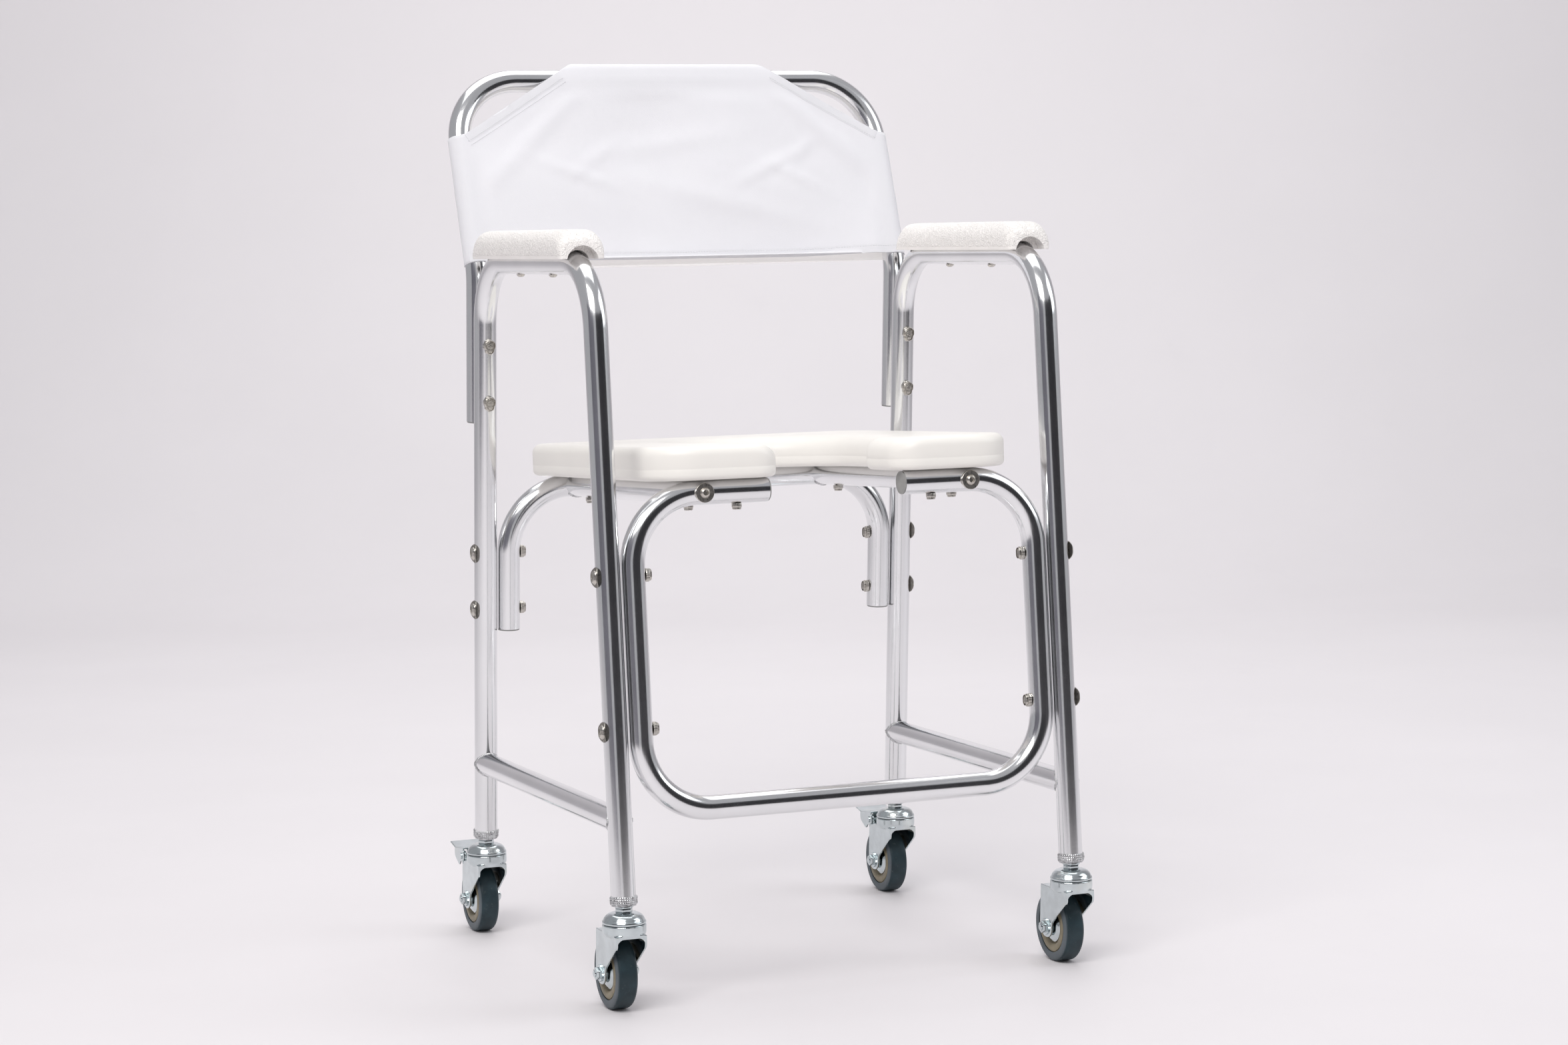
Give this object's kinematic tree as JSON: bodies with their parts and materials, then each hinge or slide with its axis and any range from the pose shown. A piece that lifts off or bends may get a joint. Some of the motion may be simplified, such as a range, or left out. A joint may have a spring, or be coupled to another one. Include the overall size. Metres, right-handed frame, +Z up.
{
  "type": "commode chair",
  "caption": "Wheeled commode chair: bolted bent-tube frame with arm pads, sling back, open-front seat and swivel casters, the rear ones braked.",
  "frame": {"origin": "on the floor, under the middle of the chair's box", "axes": "+X to the right seen from the front, +Y to the back, +Z up"},
  "size_m": [0.558, 0.5506, 0.984],
  "materials": {
    "aluminium_tube": "polished, drawn tube",
    "nickel_fastener": "bright stainless",
    "zinc_steel": "zinc plated, slightly blue",
    "grey_plug": "moulded",
    "white_cloth": "coated woven cloth",
    "cream_arm_pad": "leather-grained, satin",
    "cream_seat": "smooth, satin",
    "tan_hub": "moulded",
    "grey_tyre": "non-marking rubber"
  },
  "bodies": {
    "frame": {"left_side_tube": "aluminium_tube", "right_side_tube": "aluminium_tube", "left_side_brace": "aluminium_tube", "right_side_brace": "aluminium_tube", "front_frame": "aluminium_tube", "rear_seat_frame": "aluminium_tube", "left_seat_rail": "aluminium_tube", "right_seat_rail": "aluminium_tube", "back_frame": "aluminium_tube", "leg_collars": "aluminium_tube", "leg_sockets": "aluminium_tube", "front_frame_plugs": "grey_plug", "rear_frame_plugs": "grey_plug", "back_frame_plugs": "grey_plug", "back_cover": "white_cloth", "left_arm_pad": "cream_arm_pad", "right_arm_pad": "cream_arm_pad", "arm_pad_screws": "nickel_fastener", "seat": "cream_seat", "seat_bolts": "nickel_fastener", "seat_nuts": "nickel_fastener", "leg_bolts": "nickel_fastener", "leg_nuts": "nickel_fastener", "leg_saddles": "nickel_fastener", "back_bolts": "nickel_fastener", "back_nuts": "nickel_fastener", "rail_bolts": "nickel_fastener", "rail_washers": "nickel_fastener", "rail_inserts": "nickel_fastener", "caster_caps": "zinc_steel", "caster_balls": "zinc_steel"},
    "front_left_swivel": {"front_left_fork": "zinc_steel", "front_left_axle": "zinc_steel", "front_left_spacer": "zinc_steel"},
    "front_left_wheel": {"front_left_guards": "zinc_steel", "front_left_hub": "tan_hub", "front_left_tyre": "grey_tyre"},
    "front_right_swivel": {"front_right_fork": "zinc_steel", "front_right_axle": "zinc_steel", "front_right_spacer": "zinc_steel"},
    "front_right_wheel": {"front_right_guards": "zinc_steel", "front_right_hub": "tan_hub", "front_right_tyre": "grey_tyre"},
    "rear_left_swivel": {"rear_left_fork": "zinc_steel", "rear_left_axle": "zinc_steel", "rear_left_spacer": "zinc_steel", "rear_left_pedal_pin": "zinc_steel"},
    "rear_left_wheel": {"rear_left_guards": "zinc_steel", "rear_left_hub": "tan_hub", "rear_left_tyre": "grey_tyre"},
    "rear_right_swivel": {"rear_right_fork": "zinc_steel", "rear_right_axle": "zinc_steel", "rear_right_spacer": "zinc_steel", "rear_right_pedal_pin": "zinc_steel"},
    "rear_right_wheel": {"rear_right_guards": "zinc_steel", "rear_right_hub": "tan_hub", "rear_right_tyre": "grey_tyre"},
    "rear_left_brake": {"rear_left_pedal": "zinc_steel"},
    "rear_right_brake": {"rear_right_pedal": "zinc_steel"}
  },
  "joints": [
    {"name": "front_left_swivel_turn", "type": "hinge", "parent": "frame", "child": "front_left_swivel", "pos_m": [-0.254, -0.2527, 0.09], "axis": [0, 0, 1], "continuous": true},
    {"name": "front_left_wheel_spin", "type": "hinge", "parent": "front_left_swivel", "child": "front_left_wheel", "pos_m": [-0.254, -0.2247, 0.038], "axis": [1, 0, 0], "continuous": true},
    {"name": "front_right_swivel_turn", "type": "hinge", "parent": "frame", "child": "front_right_swivel", "pos_m": [0.254, -0.2527, 0.09], "axis": [0, 0, 1], "continuous": true},
    {"name": "front_right_wheel_spin", "type": "hinge", "parent": "front_right_swivel", "child": "front_right_wheel", "pos_m": [0.254, -0.2247, 0.038], "axis": [1, 0, 0], "continuous": true},
    {"name": "rear_left_swivel_turn", "type": "hinge", "parent": "frame", "child": "rear_left_swivel", "pos_m": [-0.254, 0.1993, 0.09], "axis": [0, 0, 1], "continuous": true},
    {"name": "rear_left_wheel_spin", "type": "hinge", "parent": "rear_left_swivel", "child": "rear_left_wheel", "pos_m": [-0.254, 0.2273, 0.038], "axis": [1, 0, 0], "continuous": true},
    {"name": "rear_left_brake_press", "type": "hinge", "parent": "rear_left_swivel", "child": "rear_left_brake", "pos_m": [-0.254, 0.2338, 0.086], "axis": [-1, 0, 0], "range_deg": [0, 9]},
    {"name": "rear_right_swivel_turn", "type": "hinge", "parent": "frame", "child": "rear_right_swivel", "pos_m": [0.254, 0.1993, 0.09], "axis": [0, 0, 1], "continuous": true},
    {"name": "rear_right_wheel_spin", "type": "hinge", "parent": "rear_right_swivel", "child": "rear_right_wheel", "pos_m": [0.254, 0.2273, 0.038], "axis": [1, 0, 0], "continuous": true},
    {"name": "rear_right_brake_press", "type": "hinge", "parent": "rear_right_swivel", "child": "rear_right_brake", "pos_m": [0.254, 0.2338, 0.086], "axis": [-1, 0, 0], "range_deg": [0, 9]}
  ]
}
